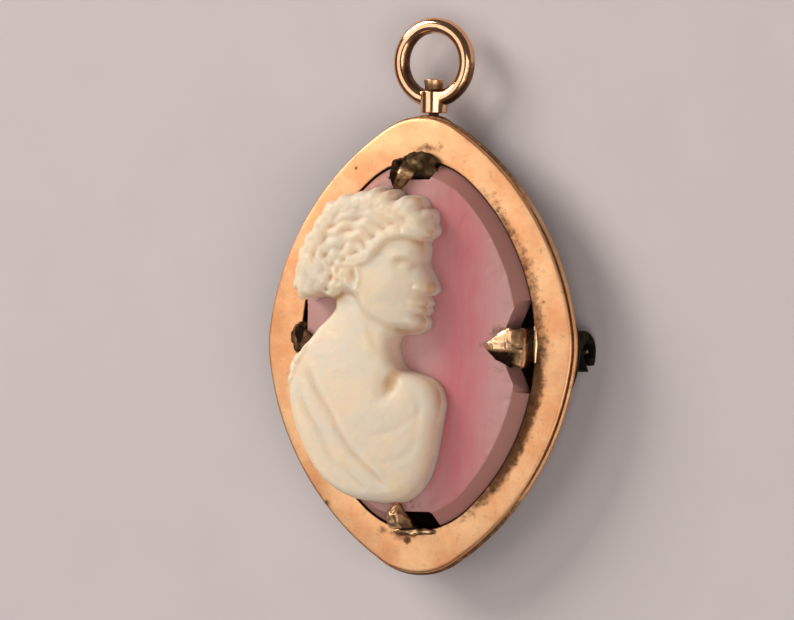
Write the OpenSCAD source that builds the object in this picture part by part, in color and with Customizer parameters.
// Cameo pendant: a carved two-layer shell held by four claws in a pointed oval band,
// with a swivel ring on a post at the top and a pin with its catch across the back.
// It lies face up: +Y points to the ring, +Z out of the face. Sizes are in millimetres.

/* [Band] */
// Width of the band's face, side to side
frame_w = 20.4; // [17:0.1:25]
// Height of the band's face, tip to tip
frame_h = 26.8; // [22:0.1:33]
// Radius of the rounded upper and lower tips
frame_tip_r = 4.5; // [3:0.1:6]
// Radius of the rounded left and right sides
frame_side_r = 6.8; // [4:0.1:8]
// Radius of the long curves between tips and sides, as a share of the height
frame_flank = 0.62; // [0.62:0.01:1]
// Width of the flat band at the sides
band_side = 2.4; // [1.8:0.05:2.8]
// Width of the flat band at the tips
band_tip = 2.55; // [1.8:0.05:3.2]
// Depth of the band's turned-down edge
band_t = 0.75; // [0.5:0.05:1.2]
// How far the lip stands out round the lower edge
lip_proud = 0.12; // [0.05:0.01:0.2]
// Thickness of the lip
lip_t = 0.2; // [0.1:0.05:0.3]

/* [Opening and seat] */
// Radius of the opening's upper and lower ends
opening_tip_r = 5.2; // [3:0.1:5.5]
// Thickness of the wall behind the opening's edge
wall_t = 0.7; // [0.4:0.05:1]
// How far the seat reaches in under the shell
seat_w = 1.6; // [1.5:0.05:2]
// Thickness of the seat
seat_t = 0.4; // [0.3:0.05:0.8]

/* [Shell] */
// Thickness of the plate, from its back to the ground of the carving
plate_t = 1.85; // [1.4:0.05:2.4]
// How far the ground of the carving stands above the band's face
ground_h = 0.95; // [0.6:0.05:1.2]
// Depth of the bevel
bevel_h = 1.1; // [0.6:0.05:1.2]
// Run of the bevel at the sides
bevel_side = 0.62; // [0.3:0.02:1]
// Run of the bevel at the ends
bevel_end = 0.8; // [0.4:0.02:1.2]
// How much rounder the ground's ends are than the opening's
ground_rounder = 0.6; // [0:0.1:0.8]
// Highest relief above the ground
relief_h = 2.55; // [1.5:0.05:3]
// Gap between the shell and the metal
shell_gap = 0.06; // [0.03:0.01:0.1]
// Room between the carved figure and the points of the end claws
figure_room = 0.15; // [0.1:0.01:0.5]

/* [Claws] */
// Width of a claw where it rises
claw_w = 1.8; // [1.2:0.1:2.4]
// Thickness of a claw
claw_t = 0.35; // [0.25:0.05:0.5]
// Reach of the right claw from the opening's edge
claw_right = 2.7; // [1.5:0.1:3.2]
// Reach of the left claw from the opening's edge
claw_left = 1.45; // [1.1:0.05:1.6]
// Reach of the top claw from the opening's edge
claw_top = 1.6; // [1.2:0.1:1.7]
// Reach of the bottom claw from the opening's edge
claw_bottom = 1.45; // [1.1:0.05:1.55]
// Height of the solder that runs out over the band behind a claw
solder_h = 0.3; // [0.1:0.05:0.4]
// Length along the plate's edge of the side notches
notch_side = 5.4; // [3.5:0.1:6.5]
// Length along the plate's edge of the end notches
notch_end = 2.9; // [2.6:0.1:4.5]
// Depth of the right notch into the ground
notch_deep = 0.7; // [0.4:0.05:1.1]
// Depth of the other three notches into the ground
notch_slight = 0.3; // [0.2:0.05:0.8]

/* [Ring and post] */
// Radius of the ring at the middle of its wire
ring_r = 2.19; // [1.9:0.01:3.2]
// Radius of the ring's wire
wire_r = 0.48; // [0.35:0.01:0.6]
// Height of the collar under the ring
collar_h = 1.3; // [0.9:0.05:1.8]
// Radius of the collar
collar_r = 0.77; // [0.7:0.01:1]
// Radius of the post
post_r = 0.3; // [0.25:0.01:0.38]
// Running gap between the post and the collar's bore
post_gap = 0.05; // [0.03:0.01:0.08]
// Radius of the post's cupped head
head_r = 0.6; // [0.5:0.02:0.7]
// Height of the post's cupped head
head_h = 0.65; // [0.4:0.05:0.9]
// Depth of the post's axis behind the band's face
post_depth = 1.75; // [1.6:0.05:2]
// Radius of the round lug that carries the post
lug_r = 1.9; // [1.5:0.05:2.4]
// How far the lug shows past the band's tip
lug_proud = 0.2; // [0.1:0.02:0.4]
// Thickness of the lug from front to back
lug_t = 1.3; // [1:0.05:1.6]

/* [Pin and catch] */
// Radius of the round hinge ears and catch
hardware_r = 1.25; // [1.1:0.05:1.5]
// How deep the hinge and the catch are let into their base plates
hardware_sunk = 0.45; // [0.3:0.05:0.6]
// Room for cloth between the pin and the seat's back
pin_room = 0.59; // [0.5:0.01:1]
// Radius of the pin
pin_r = 0.35; // [0.25:0.01:0.4]
// Gap round the pin where it passes the metal
pin_gap = 0.08; // [0.05:0.01:0.1]
// Length of the pin's tapered point
point_l = 3; // [2:0.1:5]
// Radius of the pin's very tip
point_r = 0.12; // [0.05:0.01:0.2]
// Length of the catch along the pin
catch_l = 1.4; // [1:0.1:1.8]
// Turn of the catch's mouth below the back
mouth_turn = 25; // [20:1:80]
// Thickness of each hinge ear
ear_t = 0.5; // [0.3:0.05:0.7]
// Width of the pin's eye
eye_w = 0.8; // [0.6:0.05:1]
// Radius of the hinge rivet
rivet_r = 0.28; // [0.2:0.01:0.35]
// Length of the base plates under the hinge and the catch
base_l = 4.5; // [3:0.1:5.5]
// Radius of the base plates' outer edge
base_r = 4.8; // [3.5:0.1:8]
// How far the hinge and catch stay in from the band's side
hardware_inset = 0.05; // [0.02:0.01:0.3]
// Offset of the hinge and catch below the pendant's centre
hardware_drop = 0.25; // [0:0.05:0.8]

/* [Hidden] */
$fn = 96;

// A pointed oval: half width, half height and the radius of its tips. The band's outer outline
// also has the radii of its sides and flanks, and the others are bowed in one curve a side.
HALF_W = 0;
HALF_H = 1;
TIP_R = 2;
SIDE_R = 3;
FLANK_R = 4;

frame = [frame_w / 2, frame_h / 2, frame_tip_r, frame_side_r, frame_flank * frame_h];
opening = [frame_w / 2 - band_side, frame_h / 2 - band_tip, opening_tip_r];
ground = [
    opening[HALF_W] - bevel_side, opening[HALF_H] - bevel_end,
    opening_tip_r - bevel_side + ground_rounder
];

// Steps along the arcs of an outline
SIDE_STEPS = 6;
FLANK_STEPS = 12;
TIP_STEPS = 10;

// Heights above the plane that the pendant lies on, and places along Y from the band's centre
plate_back = ground_h - plate_t;
seat_top = plate_back - shell_gap;
seat_back = seat_top - seat_t;
pin_depth = pin_room + pin_r - seat_back;
base_back = hardware_r - hardware_sunk - pin_depth;
face_z = pin_depth + hardware_r;
figure_h = opening[HALF_H] - max(claw_top, claw_bottom) - figure_room;
lug_top = frame_h / 2 + lug_proud;
collar_bottom = lug_top + post_gap * 2;
collar_top = collar_bottom + collar_h;
ring_y = collar_top + ring_r - wire_r;
ring_top = ring_y + ring_r + wire_r;
bottom_tip = frame_h / 2 + lip_proud;
centre_y = (bottom_tip - ring_top) / 2;
hardware_x = frame_w / 2 - hardware_inset;
claw_over = ground_h + shell_gap;
// How far a soldered or carved piece is let into its neighbour, and a cut runs past its faces
sunk = 0.1;
past = 1;

// The four claws: the turn to each, its place, its point's place along the edge and its width as
// shares of the usual width, its reach in, and its solder's run out as a share of the band's width
CLAW_TURN = 0;
CLAW_ALONG = 1;
CLAW_LEAN = 2;
CLAW_WIDE = 3;
CLAW_REACH = 4;
CLAW_SPILL = 5;
CLAWS = [
    [0, 0, 0, 1.3, claw_right, 0.08],
    [90, 0.22, 0.5, 0.85, claw_top, 0.2],
    [180, -0.2, -0.2, 1, claw_left, 0.45],
    [270, -0.22, -0.36, 0.85, claw_bottom, 0.08]
];
// The notches that they pass through: the turn to each, its middle's place along the edge as a share
// of its length, its length, its depth, and the share of its length that has the full depth
NOTCH_TURN = 0;
NOTCH_ALONG = 1;
NOTCH_LONG = 2;
NOTCH_DEEP = 3;
NOTCH_FLAT = 4;
NOTCHES = [
    [0, 0, notch_side, notch_deep, 0.45],
    [90, 0.04, notch_end, notch_slight, 0.95],
    [180, 0, notch_side, notch_slight, 0.9],
    [270, 0.04, notch_end, notch_slight, 0.95]
];
// The post's cupped head: its foot, its cup's floor, depth and rim, as shares of its radius and height
HEAD_FOOT = 0.85;
CUP_FLOOR = 0.3;
CUP_FROM = 0.55;
CUP_RIM = 0.8;

// Sections of the carved bust, bottom to top. Y is a share of the figure's half height, the left
// and right edges are shares of the ground's half width, and the relief is a share of the highest.
ROW_Y = 0;
ROW_LEFT = 1;
ROW_RIGHT = 2;
ROW_RELIEF = 3;
BUST = [
    [-1, -0.24, -0.06, 0.62],
    [-0.983, -0.4, 0.06, 0.7],
    [-0.928, -0.57, 0.14, 0.8],
    [-0.84, -0.7, 0.21, 0.88],
    [-0.707, -0.81, 0.27, 0.93],
    [-0.541, -0.91, 0.31, 0.96],
    [-0.398, -0.965, 0.34, 0.98],
    [-0.287, -0.98, 0.34, 0.98],
    [-0.235, -0.978, 0.3, 0.95],
    [-0.188, -0.97, 0.15, 0.92],
    [-0.15, -0.955, 0.02, 0.88],
    [-0.1, -0.92, -0.06, 0.84],
    [-0.044, -0.83, -0.1, 0.82],
    [0.033, -0.76, -0.12, 0.8],
    [0.077, -0.74, -0.11, 0.78],
    [0.105, -0.71, 0.12, 0.8],
    [0.144, -0.69, 0.19, 0.82],
    [0.199, -0.66, 0.18, 0.86],
    [0.232, -0.63, 0.2, 0.88],
    [0.276, -0.6, 0.21, 0.9],
    [0.309, -0.6, 0.21, 0.92],
    [0.331, -0.86, 0.23, 0.92],
    [0.365, -0.92, 0.29, 0.92],
    [0.398, -0.95, 0.27, 0.93],
    [0.53, -0.93, 0.17, 0.96],
    [0.652, -0.86, 0.19, 0.98],
    [0.74, -0.79, 0.18, 0.97],
    [0.807, -0.73, 0.16, 0.93],
    [0.884, -0.65, 0.14, 0.86],
    [0.95, -0.52, 0.09, 0.76],
    [0.994, -0.32, 0.03, 0.64],
    [1, -0.2, -0.06, 0.6]
];
BUST_ROWS = 64;
BUST_COLUMNS = 30;
// Locks of hair in rings round the crown, with the crown's place and reach as such shares
CROWN = [-0.3, 0.64];
CROWN_REACH = [0.5, 0.3];
LOCK_RINGS = [0.45, 0.85];
LOCK_FROM = 55;
LOCK_TO = 265;
LOCK_STEP = 30;
// Thickness of a lock, how far it stands proud, and how far it turns and runs outwards
LOCK_R = 0.09;
LOCK_PROUD = 0.012;
LOCK_SWEEP = 16;
LOCK_RUN = 0.15;
LOCK_FN = 14;
// Shares of a section's relief at its left and right edges, where the wall drops to the ground
EDGE_LEFT = 0.8;
EDGE_RIGHT = 0.5;
// Depth and spacing of the waves in the hair and the folds of the drape, as shares
WAVE_DEPTH = 0.05;
HAIR_WAVE = 5;
FOLD_WAVE = 3;
HAIR_FROM = 0.55;
DRAPE_TO = -0.17;

// Points along an arc about a centre, without its first one
function arc(c, r, from, to, steps) =
    [for (k = [1 : steps]) let (a = from + (to - from) * k / steps) c + r * [cos(a), sin(a)]];

// Direction from one point to another, in degrees
function heading(from, to) = atan2(to[1] - from[1], to[0] - from[0]);

// A quarter of the band's outer outline, from its side to its tip: side, flank and tip arcs.
// The flank's centre is the point in the lower left that both end arcs touch the flank from.
function pointed_quarter(o) =
    let (
        side = [o[HALF_W] - o[SIDE_R], 0],
        tip = [0, o[HALF_H] - o[TIP_R]],
        a = o[FLANK_R] - o[TIP_R],
        b = o[FLANK_R] - o[SIDE_R],
        d = norm(side - tip),
        t = (a * a - b * b + d * d) / (2 * d),
        s = sqrt(a * a - t * t),
        along = (side - tip) / d,
        flank = tip + along * t + [along[1], -along[0]] * s
    )
    concat(
        [[o[HALF_W], 0]],
        arc(side, o[SIDE_R], 0, heading(flank, side), SIDE_STEPS),
        arc(flank, o[FLANK_R], heading(flank, side), heading(flank, tip), FLANK_STEPS),
        arc(tip, o[TIP_R], heading(flank, tip), 90, TIP_STEPS)
    );

// A quarter of an outline of two bowed sides and two rounded tips
function lens_quarter(o) =
    let (
        rise = o[HALF_H] - o[TIP_R],
        spare = o[HALF_W] - o[TIP_R],
        flank = [-(rise * rise - spare * spare) / (2 * spare), 0],
        turn = heading(flank, [0, rise])
    )
    concat(
        [[o[HALF_W], 0]],
        arc(flank, o[HALF_W] - flank[0], 0, turn, SIDE_STEPS + FLANK_STEPS),
        arc([0, rise], o[TIP_R], turn, 90, TIP_STEPS)
    );

// The whole outline from its upper right quarter
function outline(quarter) =
    let (n = len(quarter))
    concat(
        quarter,
        [for (k = [n - 2 : -1 : 0]) [-quarter[k][0], quarter[k][1]]],
        [for (k = [1 : n - 1]) -quarter[k]],
        [for (k = [n - 2 : -1 : 1]) [quarter[k][0], -quarter[k][1]]]
    );

// The same outline with every curve moved out by a length
function grown(o, by) = [for (v = o) v + by];

module pointed_oval(o) {
    polygon(outline(pointed_quarter(o)));
}

module lens(o) {
    polygon(outline(lens_quarter(o)));
}

// A flat layer between two heights
module layer(low, high) {
    translate([0, 0, low]) linear_extrude(high - low) children();
}

// Moves a piece from the band's centre and face to where it lies
module placed() {
    translate([0, centre_y, face_z]) children();
}

module band() {
    difference() {
        union() {
            layer(lip_t - band_t, 0) pointed_oval(frame);
            layer(-band_t, lip_t - band_t) pointed_oval(grown(frame, lip_proud));
            layer(seat_back, -band_t) lens(grown(opening, wall_t));
        }
        layer(seat_top, past) lens(opening);
        layer(seat_back - past, past) lens(grown(opening, -seat_w));
    }
}

// One claw at an edge that lies at +X: its stem rises inside the edge, its pointed flap folds
// over the ground, and its solder runs out over the band
module claw(edge, row) {
    wide = claw_w * row[CLAW_WIDE];
    stem = edge - claw_t - shell_gap;
    point = [edge - row[CLAW_REACH], (row[CLAW_LEAN] - row[CLAW_ALONG]) * claw_w];
    translate([0, row[CLAW_ALONG] * claw_w, 0]) {
        translate([stem, -wide / 2, seat_back])
            cube([claw_t, wide, claw_over + claw_t - seat_back]);
        layer(claw_over, claw_over + claw_t)
            polygon([
                [stem + claw_t / 2, -wide / 2], [stem + claw_t / 2, wide / 2],
                point + [0, claw_t / 2], point - [0, claw_t / 2]
            ]);
        layer(-band_t / 2, solder_h)
            translate([stem + claw_t / 2, -wide / 2])
                square([edge + row[CLAW_SPILL] * band_side - stem - claw_t / 2, wide]);
    }
}

module claws() {
    for (row = CLAWS) rotate(row[CLAW_TURN])
        claw(row[CLAW_TURN] % 180 == 0 ? opening[HALF_W] : opening[HALF_H], row);
}

// The lug behind the top tip, cut away where the shell sits, and the post with its cupped head
module post() {
    difference() {
        layer(-post_depth - lug_t / 2, lip_t / 2 - band_t)
            translate([0, lug_top - lug_r]) circle(r = lug_r);
        layer(seat_top, past) lens(opening);
    }
    translate([0, lug_top - lug_r, -post_depth]) rotate([-90, 0, 0]) {
        cylinder(r = post_r, h = collar_top + post_gap + head_h / 2 - lug_top + lug_r);
        translate([0, 0, collar_top + post_gap - lug_top + lug_r])
            difference() {
                cylinder(r1 = head_r * HEAD_FOOT, r2 = head_r, h = head_h);
                translate([0, 0, head_h * CUP_FROM])
                    cylinder(r1 = head_r * CUP_FLOOR, r2 = head_r * CUP_RIM, h = head_h * (1 - CUP_FROM));
            }
    }
}

// Base plate that the hinge or the catch is soldered on
module base_plate() {
    inner = opening[HALF_W] + wall_t / 2;
    layer(base_back, lip_t / 2 - band_t)
        intersection() {
            translate([inner, -base_l / 2]) square([hardware_x - inner, base_l]);
            translate([hardware_x - base_r, 0]) circle(r = base_r);
        }
}

// Hinge at the left: two ears and the rivet through them
module hinge() {
    base_plate();
    translate([hardware_x - hardware_r, 0, -pin_depth]) rotate([90, 0, 0]) {
        for (side = [-1, 1])
            translate([0, 0, side * (eye_w / 2 + pin_gap + ear_t / 2)])
                cylinder(r = hardware_r, h = ear_t, center = true);
        cylinder(r = rivet_r, h = eye_w + ear_t, center = true);
    }
}

// Catch at the right: a thick round hook round the pin, open towards the back
module catch() {
    base_plate();
    translate([hardware_x - catch_l, 0, -pin_depth]) rotate([0, 90, 0])
        difference() {
            cylinder(r = hardware_r, h = catch_l);
            translate([0, 0, -past]) {
                cylinder(r = pin_r + pin_gap, h = catch_l + past * 2);
                rotate(mouth_turn - 90)
                    translate([-pin_r - pin_gap, -hardware_r * 2, 0])
                        cube([(pin_r + pin_gap) * 2, hardware_r * 2, catch_l + past * 2]);
            }
        }
}

module setting() {
    color([0.80, 0.52, 0.40]) placed() {
        band();
        claws();
        post();
        translate([0, -hardware_drop, 0]) {
            mirror([1, 0, 0]) hinge();
            catch();
        }
    }
}

// A notch right through the plate's edge, with slanted ends
module notch(row) {
    half = row[NOTCH_LONG] / 2;
    out = bevel_side + bevel_end;
    translate([0, row[NOTCH_ALONG] * row[NOTCH_LONG]])
        layer(plate_back - past, ground_h + past)
            polygon([
                [0, -half], [out, -half], [out, half], [0, half],
                [-row[NOTCH_DEEP], half * row[NOTCH_FLAT]], [-row[NOTCH_DEEP], -half * row[NOTCH_FLAT]]
            ]);
}

// The shell's plate: a straight girdle and a bevel up to the ground, notched for the claws
module plate() {
    girdle = grown(opening, -shell_gap);
    difference() {
        union() {
            layer(plate_back, ground_h - bevel_h) lens(girdle);
            hull() {
                layer(ground_h - bevel_h - sunk / 2, ground_h - bevel_h) lens(girdle);
                layer(ground_h - sunk / 2, ground_h) lens(ground);
            }
        }
        for (row = NOTCHES) rotate(row[NOTCH_TURN])
            translate([row[NOTCH_TURN] % 180 == 0 ? ground[HALF_W] : ground[HALF_H], 0]) notch(row);
    }
}

function column(key) = [for (row = BUST) [row[ROW_Y], row[key]]];

// Height of the bust above the ground, at a share across and a share up
function relief(across, up) =
    let (
        edge = across < 0.5 ? EDGE_LEFT : EDGE_RIGHT,
        dome = edge + (1 - edge) * sqrt(max(0, 1 - pow(2 * across - 1, 2))),
        hair = up > HAIR_FROM ? sin(360 * HAIR_WAVE * (across + up)) : 0,
        fold = up < DRAPE_TO ? sin(360 * FOLD_WAVE * (across - up)) : 0
    )
    relief_h * (lookup(up, column(ROW_RELIEF)) * dome * (1 - WAVE_DEPTH) + WAVE_DEPTH / 2 * (hair + fold));

// The bust: a grid over its outline, closed by walls and a flat floor sunk into the ground
module bust() {
    low = BUST[0][ROW_Y];
    high = BUST[len(BUST) - 1][ROW_Y];
    left = column(ROW_LEFT);
    right = column(ROW_RIGHT);
    grid = [
        for (j = [0 : BUST_ROWS - 1], i = [0 : BUST_COLUMNS - 1])
            let (
                up = low + (high - low) * j / (BUST_ROWS - 1),
                across = i / (BUST_COLUMNS - 1),
                x = ground[HALF_W] * (lookup(up, left) * (1 - across) + lookup(up, right) * across)
            )
            [x, figure_h * up, relief(across, up)]
    ];
    ring = concat(
        [for (i = [0 : BUST_COLUMNS - 1]) i],
        [for (j = [1 : BUST_ROWS - 1]) j * BUST_COLUMNS + BUST_COLUMNS - 1],
        [for (i = [BUST_COLUMNS - 2 : -1 : 0]) (BUST_ROWS - 1) * BUST_COLUMNS + i],
        [for (j = [BUST_ROWS - 2 : -1 : 1]) j * BUST_COLUMNS]
    );
    floor_points = [for (k = ring) [grid[k][0], grid[k][1], -sunk]];
    n = len(grid);
    m = len(ring);
    top_faces = [
        for (j = [0 : BUST_ROWS - 2], i = [0 : BUST_COLUMNS - 2], half = [0, 1])
            let (a = j * BUST_COLUMNS + i, b = a + BUST_COLUMNS)
            half == 0 ? [a, b + 1, a + 1] : [a, b, b + 1]
    ];
    wall_faces = [
        for (k = [0 : m - 1], half = [0, 1])
            let (next = (k + 1) % m)
            half == 0 ? [ring[k], ring[next], n + next] : [ring[k], n + next, n + k]
    ];
    translate([0, 0, ground_h])
        polyhedron(
            concat(grid, floor_points),
            concat(top_faces, wall_faces, [[for (k = [0 : m - 1]) n + k]])
        );
}

// One end of a lock: a ball let into the hair at an angle and a share of the crown's reach
module lock_end(angle, ring) {
    spot = CROWN + [CROWN_REACH[0] * cos(angle), CROWN_REACH[1] * sin(angle)] * ring;
    left = lookup(spot[1], column(ROW_LEFT));
    right = lookup(spot[1], column(ROW_RIGHT));
    height = relief((spot[0] - left) / (right - left), spot[1]);
    radius = LOCK_R * ground[HALF_W];
    proud = LOCK_PROUD * ground[HALF_W];
    translate([spot[0] * ground[HALF_W], spot[1] * figure_h, height - radius + proud])
        sphere(r = radius, $fn = LOCK_FN);
}

module locks() {
    translate([0, 0, ground_h])
        for (ring = LOCK_RINGS, angle = [LOCK_FROM : LOCK_STEP : LOCK_TO]) hull() {
            lock_end(angle, ring);
            lock_end(angle + LOCK_SWEEP, ring + LOCK_RUN);
        }
}

module cameo() {
    placed() {
        color([0.78, 0.56, 0.60]) plate();
        color([0.94, 0.91, 0.84]) {
            bust();
            locks();
        }
    }
}

// The ring and its collar, which turn on the post
module swivel_ring() {
    color([0.78, 0.58, 0.44]) placed() translate([0, 0, -post_depth]) difference() {
        union() {
            translate([0, ring_y, 0]) rotate_extrude() translate([ring_r, 0]) circle(r = wire_r, $fn = 48);
            translate([0, collar_bottom, 0]) rotate([-90, 0, 0]) cylinder(r = collar_r, h = collar_h);
        }
        translate([0, collar_bottom - past, 0]) rotate([-90, 0, 0])
            cylinder(r = post_r + post_gap, h = collar_h + past * 2);
        translate([0, collar_top, 0]) rotate([-90, 0, 0])
            cylinder(r = head_r + post_gap, h = ring_r - wire_r);
    }
}

module brooch_pin() {
    eye_x = -hardware_x + hardware_r;
    color([0.55, 0.50, 0.44]) placed() translate([0, -hardware_drop, -pin_depth]) difference() {
        union() {
            translate([eye_x, 0, 0]) rotate([90, 0, 0])
                cylinder(r = rivet_r + pin_gap + pin_r, h = eye_w, center = true);
            translate([eye_x, 0, 0]) rotate([0, 90, 0])
                cylinder(r = pin_r, h = hardware_x - point_l - eye_x);
            translate([hardware_x - point_l, 0, 0]) rotate([0, 90, 0])
                cylinder(r1 = pin_r, r2 = point_r, h = point_l);
        }
        translate([eye_x, 0, 0]) rotate([90, 0, 0])
            cylinder(r = rivet_r + pin_gap, h = eye_w * 2, center = true);
    }
}

setting();
cameo();
swivel_ring();
brooch_pin();
